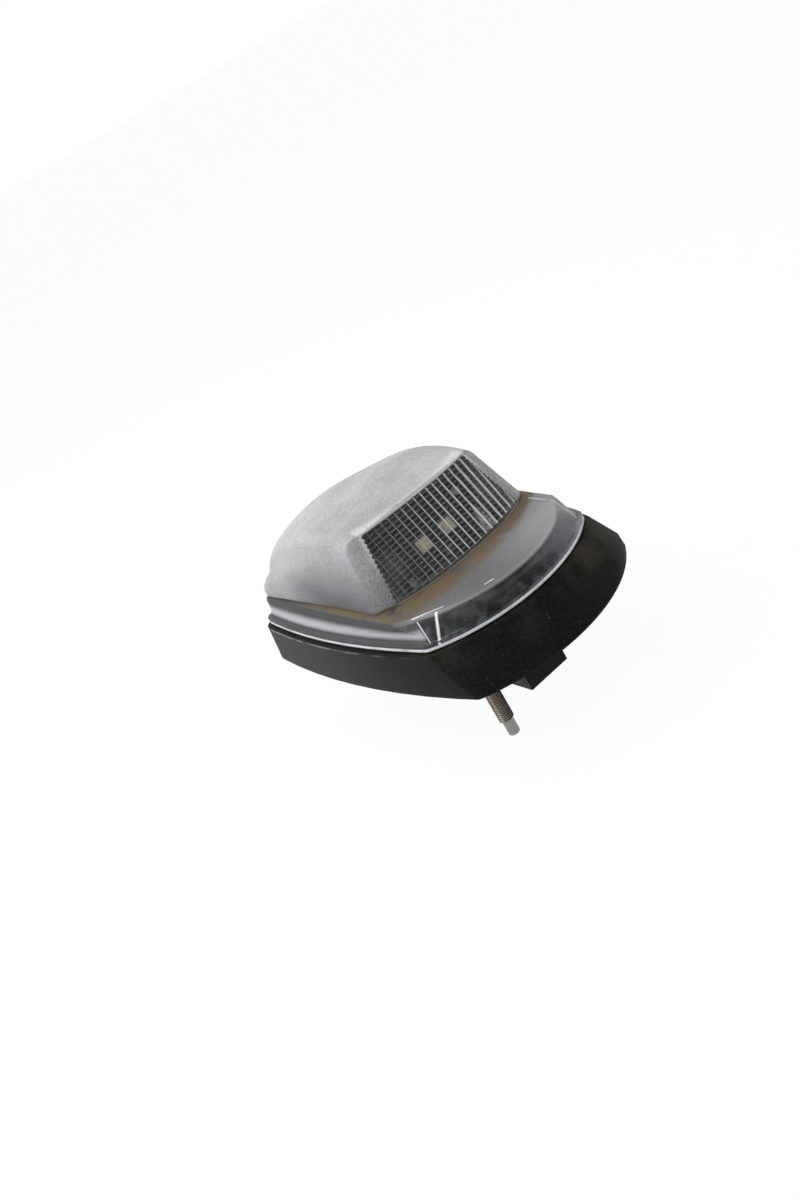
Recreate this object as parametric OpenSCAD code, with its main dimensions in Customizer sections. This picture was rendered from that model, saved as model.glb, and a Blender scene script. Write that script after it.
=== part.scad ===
// Roof marker light for a truck cab. A clear lens with frosted sides stands on a black base,
// two studs hold it down on the roof, and its plug socket hangs through the roof panel.
// The front of the light faces -Y, +Z is up, and the origin lies on the roof face.

/* [Lens] */
// Half the width of the lens rim at its widest
rim_half_w = 47.2; // [46:0.2:49]
// How far behind the origin the rim is widest
rim_widest_y = 39; // [34:1:44]
// Distance of the rim's front from the origin
rim_front = 56.8; // [55.6:0.2:57.2]
// Distance of the rim's rear from the origin
rim_rear = 85; // [84:0.5:87]
// Height of the rim above the roof, over the origin
rim_z = 18.7; // [17:0.1:20]
// How far the rim leans down towards the rear, in degrees
rim_tilt = 1.55; // [0:0.05:2.5]
// Thickness of the flange round the foot of the lens
flange_t = 2.4; // [2:0.1:3]
// Height of the ledge in front of the window, above the rim
ledge_h = 9.8; // [9:0.1:11]
// Height of the dome's front edge above the rim
dome_h = 36.2; // [34:0.1:38]
// Wall thickness of the lens
lens_wall = 2.4; // [2:0.1:2.8]

/* [Window] */
// Width of the fluted window along its foot
window_w = 62; // [56:1:64]
// Width of the fluted window along its top
window_top_w = 50; // [44:1:52]
// Number of upright flutes across the window
flute_count = 20; // [14:1:24]
// How far each flute stands out from the inside of the window
flute_depth = 0.5; // [0.3:0.1:0.8]

/* [Base] */
// Half the width of the base's foot at its widest
foot_half_w = 50.1; // [49:0.1:52]
// Distance of the foot's front from the origin
foot_front = 65; // [63:0.5:67]
// Distance of the foot's rear from the origin
foot_rear = 88; // [87:0.5:90]
// How much further the foot flares on the right, where the roof falls away
foot_flare_right = 3.4; // [2:0.2:5]
// Width of the base's land outside the lens rim
land_w = 1.8; // [1.4:0.1:2.2]
// Thickness of the base's floor
floor_t = 4; // [3.6:0.1:4.6]
// Thickness of the foam gasket under the base
gasket_t = 1.5; // [1.2:0.1:1.8]

/* [Studs and plug socket] */
// Diameter of the roof studs
stud_d = 6; // [5:0.5:6]
// How far the studs reach below the roof face
stud_reach = 32; // [26:1:34]
// Distance of each stud from the middle plane
stud_x = 23; // [22:0.5:26]
// Distance of the front stud ahead of the origin
stud_front_y = 31.6; // [30:0.5:33]
// Distance of the rear stud behind the origin
stud_rear_y = 48; // [44:1:54]
// Width of the plug socket
socket_w = 18.5; // [18:0.5:21]
// Depth of the plug socket, front to back
socket_d = 16; // [15:0.5:18]
// How far the plug socket hangs below the roof face
socket_reach = 20; // [17:0.5:22]

/* [Lamp insert] */
// Width of the circuit board that carries the light emitters
board_w = 40; // [36:1:42]
// Height of that circuit board
board_h = 22; // [20:1:23]
// Distance between the two light emitters
emitter_gap = 11.4; // [9:0.2:14]
// Edge length of each light emitter
emitter_size = 5; // [3.5:0.5:6]

/* [Hidden] */

// Fine enough for the long arcs of the outline, and for its short ones
long_fn = 168;
arc_fn = 84;
hole_fn = 48;
$fn = hole_fn;
skin = 0.06;
overlap = 1;

// Radii of the outline's four arcs and of its rounded corners
side_r = 395;
front_r = 52.7;
rear_r = 125;
foot_front_r = 60.7;
foot_right_r = 900;
corner_r = 4;

// Ledge level: its front arc, its chamfered corners and its long sides
ledge_front = 54.6;
ledge_front_r = 38.3;
ledge_half_w = 41.8;
ledge_widest_y = 40;
ledge_side_r = 1122;
ledge_rear = 84;
ledge_corner = [29.2, -41];
ledge_corner_end = [39.8, -27];
shoulder_r = 2;

// Side wall: how far it stands in from the rim above the flange and half way up
wall_foot_in = 1.5;
wall_mid_in = 2.9;
wall_mid_h = 5.2;

// Groove and seal under the lens rim
seal_in = 1.4;
seal_out = 3.2;
seal_depth = 1.4;

// Dome: foot of its side faces, and the shape of its top from front to rear
dome_in = 0.4;
dome_half_w = 39;
dome_widest_y = 50;
dome_side_r = 1600;
dome_y0 = -30;
dome_front_y = -5;
dome_rear_y = 83.5;
dome_round_y = 70;
dome_top_half_w = 30.6;
dome_stations = 24;
dome_bulge = 15;
top_swell = 1.2;
top_spread = 1.6;
foot_spread = 2;
crest_arch = 3.1;
crest_fall = 8;
crown_front = 1;
crown_rise = 6;
edge_r = 4;
edge_growth = 2;
rear_narrow = 0.05;

// Window surface: front of its foot and of its top, and how far each bows forward
window_foot_y = -21.8;
window_foot_bow = 7;
window_top_y = -7.2;
window_top_bow = 2.6;
front_foot_w = 66.4;
front_top_w = 51.2;
front_round = 11;
front_turn = 68;
window_rise = dome_h - 1.2 - ledge_h;
window_lean = atan((window_top_y - window_foot_y) / window_rise);
window_mid_y = (window_foot_y + window_top_y) / 2;
window_mid_z = ledge_h + window_rise / 2;
window_slant = window_rise / cos(window_lean);
flute_pitch = window_w / flute_count;
flute_root = 0.6;

// Circuit board: its place behind the window, what is on it and what holds it
board_depth = 11;
board_t = 1.6;
board_back = -board_depth - board_t;
carrier_t = 1.5;
shroud_gap = 4.8;
shroud_in = 3;
shroud_step = 0.4;
emitter_t = 1.5;
emitter_dome = 0.5;
resistor = [3.2, 1.6, 0.6];
resistor_at = [13, 5];
diode = [4.3, 2.7, 2.1];
diode_at = [12, -6];
capacitor = [3.5, 2.8, 1.9];
capacitor_y = -7;
board_screw_at = [17.2, 8.2];
board_screw_r = 1;
slot_half_w = 6;
slot_half_h = 2.2;
slot_y = -8.6;
leg_x = 16.5;
leg_w = 7;
leg_sunk = 0.6;
leg_low = -6;
leg_high = 2;
post_y = -2;
post_r = 3.5;
post_h = 3;
screw_r = 1.25;
screw_head_r = 2.5;
screw_head_h = 1.8;
carrier_screw_top = 13.5;

// Plug socket: place, walls, flange over the floor, and its two blades
socket_x = -2.5;
socket_y = -30;
socket_wall = 1.6;
socket_seal_t = 0.8;
socket_flange_t = 1.8;
socket_flange_w = 2.8;
socket_roof_z = -4;
socket_chamfer = 3;
lock_size = [2.6, 8, 4.6];
lock_corner = [2.6, 6, 0];
socket_play = 0.1;
lock_low = 7;
blade_x = 4;
blade_w = 2.8;
blade_t = 0.8;
blade_top = 11;
blade_tip = -14;
lead_r = 0.9;
lead_x = 3;

// Base: wall at its foot, step of its land below the rim, seat for the seal, and ribs
foot_wall = 5;
land_drop = 0.8;
seat_h = 2;
seat_in = 1.5;
rib_t = 2;
rib_h = 6;
rib_y = [20, 68];
rib_half_w = 42;
rib_x = 34;

// Stud bosses, the studs' heads, necks and points, and the vent in the floor
boss_r = 7.5;
boss_h = 8;
head_r = 5.8;
head_h = 4;
head_z = floor_t + boss_h - head_h;
stud_neck_r = 3.4;
stud_point_r = 2.25;
stud_point_len = 7;
stud_cone = 1.2;
stud_tip = 0.6;
stud_places = [[-stud_x, -stud_front_y], [stud_x, stud_rear_y]];
vent_r = 4;
vent_lip = 1.2;
vent_at = [22, -24];

function mix(a, b, t) = a + (b - a) * t;

// The lens stands on the rim plane, which leans a little to the rear.
module on_rim() {
    translate([0, 0, rim_z]) rotate([-rim_tilt, 0, 0]) children();
}

// A plan outline between a front arc, a rear arc and two long side arcs
module plan(half_l, half_r, widest_y, left_r, right_r, front, f_r, arc_end, rear, r_r) {
    room = 80;
    intersection() {
        union() {
            translate([0, f_r - front]) circle(f_r, $fn = arc_fn);
            translate([-room, arc_end]) square([2 * room, 2 * room]);
        }
        translate([0, rear - r_r]) circle(r_r, $fn = long_fn);
        translate([half_r - right_r, widest_y]) circle(right_r, $fn = long_fn);
        translate([left_r - half_l, widest_y]) circle(left_r, $fn = long_fn);
    }
}

module rounded(r) {
    offset(r = r, $fn = 24) offset(delta = -r) children();
}

// Outline of the lens rim, drawn in by the given amount
module rim_plan(inset) {
    rounded(max(corner_r - inset / 2, 1))
        plan(rim_half_w - inset, rim_half_w - inset, rim_widest_y, side_r - inset,
             side_r - inset, rim_front - inset, front_r - inset, -20, rim_rear - inset,
             rear_r - inset);
}

module foot_plan(inset) {
    rounded(max(corner_r - inset / 2, 1))
        plan(foot_half_w - inset, foot_half_w + foot_flare_right - inset, rim_widest_y + 8,
             side_r - inset, foot_right_r - inset, foot_front - inset, foot_front_r - inset,
             -20, foot_rear - inset, rear_r - inset);
}

// Outline of the ledge level, with its two chamfered front corners
module ledge_plan(inset) {
    edge = ledge_corner_end - ledge_corner;
    out = [edge[1], -edge[0]] / norm(edge);
    reach = 60;
    intersection() {
        plan(ledge_half_w - inset, ledge_half_w - inset, ledge_widest_y, ledge_side_r,
             ledge_side_r, ledge_front - inset, ledge_front_r - inset, ledge_corner[1],
             ledge_rear - inset, rear_r - inset);
        polygon([
            ledge_corner - out * inset - edge * 3,
            ledge_corner - out * inset + edge * 9,
            [-reach, 2 * reach],
            [-reach, -2 * reach]
        ]);
        mirror([1, 0])
            polygon([
                ledge_corner - out * inset - edge * 3,
                ledge_corner - out * inset + edge * 9,
                [-reach, 2 * reach],
                [-reach, -2 * reach]
            ]);
    }
}

module plate(z) {
    translate([0, 0, z]) linear_extrude(skin) children();
}

// Half the width of the dome's foot at a place along it, and how far along the place is
function dome_foot_w(y) =
    dome_half_w - pow(y - dome_widest_y, 2) / (2 * dome_side_r) + foot_spread * pow(dome_u(y), 3);
function dome_u(y) = max((y - dome_front_y) / (dome_rear_y - dome_front_y), 0);
function dome_top_w(u) =
    dome_top_half_w + top_swell * sin(180 * min(u * 1.4, 1)) + top_spread * pow(u, 3);
function dome_crest(u) = dome_h + crest_arch * sin(180 * u) - crest_fall * pow(u, 1.72);
function dome_crown(u) = crown_front + crown_rise * pow(u, 2.8);

// Falls from 1 to 0 over the dome's rounded rear end
function rear_fall(y, rear) =
    let(past = min(max((y - dome_round_y) / (rear - dome_round_y), 0), 1))
    pow(max(1 - pow(past, 3), 0.000001), 1 / 3);

// Right half of a section: bulged side, rounded edge and crowned top, d inside the surface
function dome_half(y, d, foot_z) =
    let(
        u = dome_u(y),
        fall = rear_fall(y, dome_rear_y - d),
        narrow = 1 - rear_narrow * (1 - fall),
        w = dome_top_w(u) * narrow - d,
        top = ledge_h + (dome_crest(u) - ledge_h) * fall - d,
        edge = [w, max(top - dome_crown(u) * fall, foot_z + 0.5)],
        foot = [dome_foot_w(y) * narrow - d, foot_z],
        side = norm(edge - foot),
        out = [edge[1] - foot_z, foot[0] - edge[0]] / side,
        r = min(edge_r + edge_growth * u, side * 0.6),
        a = edge + (foot - edge) * r / side,
        bx = w - min(r, w * 0.6),
        b = [bx, top - (top - edge[1]) * pow(bx / w, 2)]
    )
    concat(
        [for (i = [0:4])
            let(t = i / 5) mix(foot, a, t) + out * dome_bulge * t * (1 - t) * u * fall],
        [for (i = [0:5])
            let(t = i / 6) a * pow(1 - t, 2) + edge * 2 * t * (1 - t) + b * pow(t, 2)],
        [for (i = [0:5]) let(x = bx * (1 - i / 5)) [x, top - (top - edge[1]) * pow(x / w, 2)]]
    );

// A whole section, bent to the curve of the lens's rear
function dome_ring(y, d, foot_z) =
    let(half = dome_half(y, d, foot_z), n = len(half), bend = dome_u(y) / (2 * rear_r))
    concat(
        [for (i = [0:n - 1]) [half[i][0], y - bend * pow(half[i][0], 2), half[i][1]]],
        [for (i = [n - 2:-1:0]) [-half[i][0], y - bend * pow(half[i][0], 2), half[i][1]]]
    );

// The dome as a smooth skin through its sections, closer together towards the rear
module dome_body(d, foot_z) {
    rear = dome_rear_y - d;
    rings = concat(
        [dome_ring(dome_y0, d, foot_z)],
        [for (i = [0:dome_stations])
            dome_ring(mix(dome_front_y, rear, 1 - pow(1 - i / dome_stations, 1.7)), d, foot_z)]
    );
    m = len(rings[0]);
    last = len(rings) - 1;
    points = [for (ring = rings) each ring];
    side_faces = [for (i = [0:last - 1], j = [0:m - 1])
        let(a = i * m + j, b = i * m + (j + 1) % m) each [[a, b, b + m], [a, b + m, a + m]]];
    top = (m - 1) / 2;
    front_cap = [for (j = [0:top - 2]) [m - 1 - j, m - 2 - j, j + 1, j]];
    rear_cap = [for (j = [0:top - 2]) last * m * [1, 1, 1, 1] + [j, j + 1, m - 2 - j, m - 1 - j]];
    peaks = [[top + 1, top, top - 1], last * m * [1, 1, 1] + [top - 1, top, top + 1]];
    polyhedron(points, concat(front_cap, side_faces, rear_cap, peaks), convexity = 6);
}

// Front of the window surface at height fraction t (0 at its foot, 1 at its top)
function window_bow(t) = mix(window_foot_bow, window_top_bow, t);
function window_half(t) = mix(window_w, window_top_w, t) / 2;
function window_radius(t) =
    (pow(window_half(t), 2) + pow(window_bow(t), 2)) / (2 * window_bow(t));
function window_y(x, t) =
    mix(window_foot_y, window_top_y, t)
    + window_radius(t) - sqrt(pow(window_radius(t), 2) - x * x);

// Right half of a level line of the front: the bow, a rounded corner, and a line behind it
function front_line(t) =
    let(
        x0 = mix(front_foot_w, front_top_w, t) / 2,
        a0 = asin(x0 / window_radius(t)),
        y0 = window_y(x0, t),
        arc = [for (i = [0:5])
            let(a = mix(a0, front_turn, i / 5))
            [x0 + front_round * (sin(a) - sin(a0)), y0 + front_round * (cos(a0) - cos(a))]],
        behind = arc[5] + [1, tan(front_turn)] * 12
    )
    concat([for (i = [0:7]) [x0 * i / 8, window_y(x0 * i / 8, t)]], arc, [behind]);

// Everything behind the window surface, d inside it
module behind_window(d) {
    back = 110;
    shift = [0, d / cos(window_lean)];
    module slice(t) {
        half = front_line(t);
        last = len(half) - 1;
        translate([0, 0, ledge_h + window_rise * t])
            linear_extrude(skin)
                polygon(concat(
                    [for (i = [last:-1:1]) [-half[i][0], half[i][1]] + shift],
                    [for (i = [0:last]) half[i] + shift],
                    [[half[last][0], back], [-half[last][0], back]]
                ));
    }
    hull() {
        slice(-0.45);
        slice(1.2);
    }
}

// An upright flute on the inside of the window, cut short by the window's slanted side
module flute(x) {
    reach = min(1, (window_w / 2 - abs(x)) / ((window_w - window_top_w) / 2));
    foot = [x, window_y(x, 0) + lens_wall / cos(window_lean)];
    head = [x, window_y(x, 1) + lens_wall / cos(window_lean)];
    rise = window_rise * min(reach, 0.9);
    lean = atan((head[1] - foot[1]) / window_rise);
    half = flute_pitch / 2;
    r = (half * half + flute_depth * flute_depth) / (2 * flute_depth);
    translate([foot[0], foot[1], ledge_h])
        rotate([-lean, 0, 0])
            linear_extrude(rise / cos(lean))
                polygon(concat(
                    [[-half, -flute_root]],
                    [for (i = [-4:4])
                        let(q = half * i / 4) [q, sqrt(r * r - q * q) - r + flute_depth]],
                    [[half, -flute_root]]
                ));
}

// The lens below its ledge: wall and ledge as nested outlines, d inside the surface
module lens_lower(d) {
    sink = d > 0 ? overlap : 0;
    hull() {
        plate(wall_mid_h - d * 0.4) ledge_side_plan(wall_mid_in + d);
        plate(ledge_h - shoulder_r - d) ledge_plan(d);
        plate(ledge_h - shoulder_r * 0.3 - d) ledge_plan(d + shoulder_r * 0.3);
        plate(ledge_h - d - skin) ledge_plan(d + shoulder_r);
    }
    hull() {
        translate([0, 0, -sink]) linear_extrude(flange_t + sink) rim_plan(wall_foot_in + d);
        plate(wall_mid_h - d * 0.4) ledge_side_plan(wall_mid_in + d);
    }
}

// Outline half way up the wall, between the rim's and the ledge's
module ledge_side_plan(inset) {
    intersection() {
        rim_plan(inset);
        offset(delta = 3.4) ledge_plan(inset - wall_mid_in);
    }
}

module lens_cover() {
    color("gainsboro", 0.75)
        on_rim()
            difference() {
                union() {
                    linear_extrude(flange_t) rim_plan(0);
                    lens_lower(0);
                    intersection() {
                        dome_body(0, ledge_h - overlap);
                        behind_window(0);
                        translate([0, 0, -overlap]) linear_extrude(2 * dome_h) ledge_plan(dome_in);
                    }
                }
                lens_lower(lens_wall);
                intersection() {
                    dome_body(lens_wall, ledge_h - lens_wall - overlap);
                    difference() {
                        behind_window(lens_wall);
                        for (i = [0:flute_count - 1])
                            flute((i - (flute_count - 1) / 2) * flute_pitch);
                    }
                    translate([0, 0, -overlap])
                        linear_extrude(2 * dome_h) ledge_plan(dome_in + lens_wall);
                }
            }
}

// Ring between two outlines of the rim, as a flat drawing
module rim_ring(outer, inner) {
    difference() {
        rim_plan(outer);
        rim_plan(inner);
    }
}

// The black base: a skirt that flares to the roof, more so on the right
module skirt() {
    bulge_z = 6;
    bulge_front = 54;
    room = 150;
    hull() {
        linear_extrude(skin) foot_plan(0.4);
        plate(1) foot_plan(0);
        plate(bulge_z)
            intersection() {
                foot_plan(0.5);
                translate([0, -bulge_front]) square([room, room]);
            }
        on_rim() plate(-land_drop - skin) rim_plan(-land_w);
    }
}

// Things that stand inside the base: seat ring, stud bosses, posts and ribs
module base_insides() {
    on_rim() translate([0, 0, -seat_h]) linear_extrude(seat_h) rim_ring(0.3, seal_out + seat_in);
    for (at = stud_places)
        translate([at[0], at[1], gasket_t]) cylinder(r = boss_r, h = floor_t + boss_h - gasket_t);
    for (side = [-1, 1])
        translate([side * leg_x, post_y, gasket_t])
            cylinder(r = post_r, h = floor_t + post_h - gasket_t);
    for (y = rib_y)
        translate([-rib_half_w, y, floor_t - overlap]) cube([2 * rib_half_w, rib_t, rib_h]);
    for (side = [-1, 1])
        translate([side * rib_x - rib_t / 2, rib_y[0] + overlap, floor_t - overlap])
            cube([rib_t, rib_y[1] - rib_y[0], rib_h]);
}

module base_housing() {
    color("#26282a")
        difference() {
            union() {
                difference() {
                    skirt();
                    hull() {
                        plate(floor_t) foot_plan(foot_wall);
                        on_rim() plate(0) rim_plan(seal_out + seat_in);
                    }
                }
                base_insides();
            }
            translate([0, 0, -overlap]) linear_extrude(gasket_t + overlap) foot_plan(foot_wall);
            for (at = stud_places)
                translate([at[0], at[1], 0]) {
                    cylinder(r = stud_neck_r, h = floor_t + boss_h);
                    translate([0, 0, head_z]) cylinder(r = head_r, h = head_h + overlap, $fn = 6);
                }
            for (side = [-1, 1])
                translate([side * leg_x, post_y, 0]) {
                    cylinder(r = screw_r, h = floor_t + post_h + overlap);
                    cylinder(r = screw_head_r, h = gasket_t + screw_head_h);
                }
            translate([socket_x - socket_w / 2, socket_y - socket_d / 2, 0])
                cube([socket_w, socket_d, floor_t + overlap]);
            translate([vent_at[0], vent_at[1], 0]) cylinder(r = vent_r, h = floor_t + overlap);
            on_rim()
                translate([0, 0, -seal_depth])
                    linear_extrude(seal_depth + overlap) rim_ring(seal_in, seal_out);
        }
}

module lens_seal() {
    color("#1c1c1c")
        on_rim()
            translate([0, 0, -seal_depth]) linear_extrude(seal_depth) rim_ring(seal_in, seal_out);
}

module roof_gasket() {
    room = 0.8;
    color("#303030")
        linear_extrude(gasket_t)
            difference() {
                foot_plan(foot_wall);
                for (at = stud_places)
                    translate(at) circle(r = stud_neck_r + room, $fn = hole_fn);
                translate([socket_x - socket_w / 2 - 3 * room, socket_y - socket_d / 2 - room])
                    square([socket_w + 4 * room, socket_d + 2 * room]);
                translate(vent_at) circle(r = vent_r, $fn = hole_fn);
            }
}

// A stud with a hexagonal head held in its boss, a plain neck and a dog point
module stud() {
    thread = stud_reach - stud_point_len;
    translate([0, 0, head_z]) cylinder(r = head_r, h = head_h, $fn = 6);
    cylinder(r = stud_neck_r, h = head_z);
    translate([0, 0, -thread]) cylinder(d = stud_d, h = thread);
    translate([0, 0, -thread - stud_cone])
        cylinder(r1 = stud_point_r, r2 = stud_d / 2, h = stud_cone);
    translate([0, 0, -stud_reach + stud_tip])
        cylinder(r = stud_point_r, h = stud_point_len - stud_cone - stud_tip);
    translate([0, 0, -stud_reach])
        cylinder(r1 = stud_point_r - stud_tip, r2 = stud_point_r, h = stud_tip);
}

module front_stud() {
    color("darkgray") translate(stud_places[0]) stud();
}

module rear_stud() {
    color("darkgray") translate(stud_places[1]) stud();
}

// Places things on the window: X across it, Y up it, Z out of it
module on_window() {
    on_rim()
        translate([0, window_mid_y, window_mid_z]) rotate([90 - window_lean, 0, 0]) children();
}

module on_board() {
    on_window() translate([0, 0, -board_depth]) children();
}

// A flat box centred on a place on the board
module board_box(x, y, size) {
    on_board() translate([x - size[0] / 2, y - size[1] / 2, 0]) cube(size);
}

// The two screws that hold the board sit in opposite corners
module at_board_screws() {
    for (side = [-1, 1])
        on_board() translate([side * board_screw_at[0], side * board_screw_at[1], 0]) children();
}

// Shroud body, drawn in by the given amount: as wide as the window in front, as the board behind
module shroud_taper(inset, back) {
    foot = window_w / 2 - shroud_in - inset;
    top = window_top_w / 2 - shroud_in - inset;
    half_h = window_slant / 2 - shroud_in - inset;
    hull() {
        linear_extrude(skin + inset)
            polygon([[-foot, -half_h], [foot, -half_h], [top, half_h], [-top, half_h]]);
        translate([-back[0] / 2, -back[1] / 2, -board_depth]) cube([back[0], back[1], skin]);
    }
}

// Side view of a leg, from the top of its post up into the plate behind the board
module leg_side() {
    foot = floor_t + post_h;
    low = window_point([0, leg_low, board_back - carrier_t + leg_sunk]);
    high = window_point([0, leg_high, board_back - carrier_t + leg_sunk]);
    polygon([
        [post_y - post_r, foot], [post_y + post_r, foot],
        [high[1], high[2]], [low[1], low[2]]
    ]);
}

// Dark shroud behind the window, with a pocket for the board and two legs to the base
module board_carrier() {
    pocket = [board_w + 0.3, board_h + 0.3];
    lip = [shroud_step, shroud_step];
    back = pocket + lip + [2 * carrier_t, 2 * carrier_t];
    color("#18191a")
        difference() {
            union() {
                intersection() {
                    on_window() shroud_taper(0, back - lip);
                    on_rim() behind_window(shroud_gap);
                }
                on_window()
                    translate([-back[0] / 2, -back[1] / 2, board_back - carrier_t])
                        cube([back[0], back[1], board_t + carrier_t + shroud_step]);
                for (side = [-1, 1])
                    translate([side * leg_x - leg_w / 2, 0, 0])
                        rotate([90, 0, 90]) linear_extrude(leg_w) leg_side();
            }
            on_window() shroud_taper(carrier_t, pocket - lip);
            on_window()
                translate([-pocket[0] / 2, -pocket[1] / 2, board_back])
                    cube([pocket[0], pocket[1], board_t + overlap]);
            on_window()
                translate([-slot_half_w, slot_y - slot_half_h, board_back - 2 * carrier_t])
                    cube([2 * slot_half_w, 2 * slot_half_h, 3 * carrier_t]);
            at_board_screws()
                translate([0, 0, -board_t - 3 * carrier_t])
                    cylinder(r = board_screw_r, h = board_t + 3 * carrier_t);
            for (side = [-1, 1])
                translate([side * leg_x, post_y, 0])
                    cylinder(r = screw_r, h = carrier_screw_top + 2 * overlap);
        }
}

module led_board() {
    color("#141a16")
        difference() {
            on_board()
                translate([-board_w / 2, -board_h / 2, -board_t]) cube([board_w, board_h, board_t]);
            at_board_screws() cylinder(r = board_screw_r, h = 3 * board_t, center = true);
        }
}

module left_emitter() {
    emitter(-emitter_gap / 2);
}

module right_emitter() {
    emitter(emitter_gap / 2);
}

// A light emitter: a square package with a low round dome of clear resin
module emitter(x) {
    color("#e8e4c8") {
        board_box(x, 0, [emitter_size, emitter_size, emitter_t]);
        on_board() translate([x, 0, emitter_t]) cylinder(d = emitter_size - 1, h = emitter_dome);
    }
}

module left_resistor() {
    color("#202020") board_box(-resistor_at[0], resistor_at[1], resistor);
}

module right_resistor() {
    color("#202020") board_box(resistor_at[0], resistor_at[1], resistor);
}

module polarity_diode() {
    color("#1a1a1c") board_box(-diode_at[0], diode_at[1], diode);
}

module surge_diode() {
    color("#1a1a1c") board_box(diode_at[0], diode_at[1], diode);
}

module filter_capacitor() {
    color("#2a2620") board_box(0, capacitor_y, capacitor);
}

module board_screws() {
    depth = board_t + carrier_t;
    color("silver")
        at_board_screws() {
            translate([0, 0, -depth]) cylinder(r = board_screw_r, h = depth);
            cylinder(r = 1.8 * board_screw_r, h = 1);
        }
}

module carrier_screws() {
    color("silver")
        for (side = [-1, 1])
            translate([side * leg_x, post_y, gasket_t]) {
                cylinder(r = screw_head_r, h = screw_head_h);
                cylinder(r = screw_r, h = carrier_screw_top - gasket_t);
            }
}

function about_x(p, a) =
    [p[0], p[1] * cos(a) - p[2] * sin(a), p[1] * sin(a) + p[2] * cos(a)];
function window_point(p) =
    [0, 0, rim_z]
    + about_x([0, window_mid_y, window_mid_z] + about_x(p, 90 - window_lean), -rim_tilt);
function bezier(p, t) =
    p[0] * pow(1 - t, 3) + p[1] * 3 * t * pow(1 - t, 2)
    + p[2] * 3 * t * t * (1 - t) + p[3] * pow(t, 3);

// A lead from the back of the board to the top of a blade, as a swept round skin
module lead(from_x, to_x) {
    sides = 12;
    steps = 16;
    start = window_point([from_x, slot_y, board_back]);
    end = [to_x, socket_y, blade_top];
    bend = [start, window_point([from_x, slot_y, board_back - 10]) - [0, 0, 5],
            end + [0, 0, 9], end];
    points = [for (i = [0:steps])
        let(
            at = bezier(bend, i / steps),
            ahead = bezier(bend, min(i + 0.5, steps) / steps)
                - bezier(bend, max(i - 0.5, 0) / steps),
            v = cross(ahead, [1, 0, 0]) / norm(cross(ahead, [1, 0, 0])),
            u = cross(v, ahead) / norm(ahead)
        )
        for (k = [0:sides - 1])
            at + lead_r * (u * cos(360 * k / sides) + v * sin(360 * k / sides))];
    tube = [for (i = [0:steps - 1], k = [0:sides - 1])
        let(a = i * sides + k, b = i * sides + (k + 1) % sides)
        each [[a, b + sides, b], [a, a + sides, b + sides]]];
    ends = [[for (k = [0:sides - 1]) k], [for (k = [sides - 1:-1:0]) steps * sides + k]];
    polyhedron(points, concat(tube, ends), convexity = 4);
}

module power_lead() {
    color("firebrick") lead(-lead_x, socket_x - blade_x);
}

module ground_lead() {
    color("#1a1a1a") lead(lead_x, socket_x + blade_x);
}

// Insulating plug socket: a flanged block through the floor, hollow from below
module socket_shell() {
    body = [socket_w, socket_d] - 2 * [socket_play, socket_play];
    flange = body + [2 * socket_flange_w, 2 * socket_flange_w];
    inner = body - [2 * socket_wall, 2 * socket_wall];
    flange_z = floor_t + socket_seal_t;
    color("#1f2022")
        translate([socket_x, socket_y, 0])
            difference() {
                union() {
                    translate([-body[0] / 2, -body[1] / 2, -socket_reach])
                        cube([body[0], body[1], socket_reach + flange_z + socket_flange_t]);
                    translate([-flange[0] / 2, -flange[1] / 2, flange_z])
                        cube([flange[0], flange[1], socket_flange_t]);
                }
                translate([-inner[0] / 2, -inner[1] / 2, -socket_reach - overlap])
                    cube([inner[0], inner[1], socket_reach + socket_roof_z + overlap]);
                for (side = [-1, 1])
                    translate([side * blade_x - blade_t / 2, -blade_w / 2, -socket_reach])
                        cube([blade_t, blade_w, 2 * socket_reach]);
                translate([body[0] / 2 - socket_chamfer, -socket_d, -socket_reach])
                    rotate([0, 45, 0])
                        translate([0, 0, -2 * socket_chamfer])
                            cube([3 * socket_chamfer, 2 * socket_d, 2 * socket_chamfer]);
            }
}

// Rubber ring between the socket's flange and the base's floor
module socket_seal() {
    outer = [socket_w, socket_d] + 4 * [1, 1];
    color("#2c1c18")
        translate([socket_x, socket_y, floor_t])
            linear_extrude(socket_seal_t)
                difference() {
                    square(outer, center = true);
                    square([socket_w, socket_d], center = true);
                }
}

module terminal(x) {
    translate([x - blade_t / 2, socket_y - blade_w / 2, blade_tip])
        cube([blade_t, blade_w, blade_top - 1 - blade_tip]);
    translate([x, socket_y, blade_top - 3]) cylinder(r = 1.5 * lead_r, h = 3);
}

module power_terminal() {
    color("goldenrod") terminal(socket_x - blade_x);
}

module ground_terminal() {
    color("goldenrod") terminal(socket_x + blade_x);
}

// Small sliding lock on the left side of the socket, just below the roof face
module socket_lock() {
    color("#333537")
        translate([socket_x - socket_w / 2 + socket_play, socket_y, -lock_low] - lock_corner)
            cube(lock_size);
}

// Push-in vent that lets the inside of the lamp breathe
module vent_plug() {
    color("#3a3c3e")
        translate([vent_at[0], vent_at[1], gasket_t]) {
            cylinder(r = vent_r, h = floor_t - gasket_t);
            translate([0, 0, floor_t - gasket_t]) cylinder(r = vent_r + vent_lip, h = vent_lip);
        }
}

lens_cover();
base_housing();
lens_seal();
roof_gasket();
front_stud();
rear_stud();
board_carrier();
led_board();
left_emitter();
right_emitter();
left_resistor();
right_resistor();
polarity_diode();
surge_diode();
filter_capacitor();
board_screws();
carrier_screws();
power_lead();
ground_lead();
socket_shell();
socket_seal();
power_terminal();
ground_terminal();
socket_lock();
vent_plug();
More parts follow.
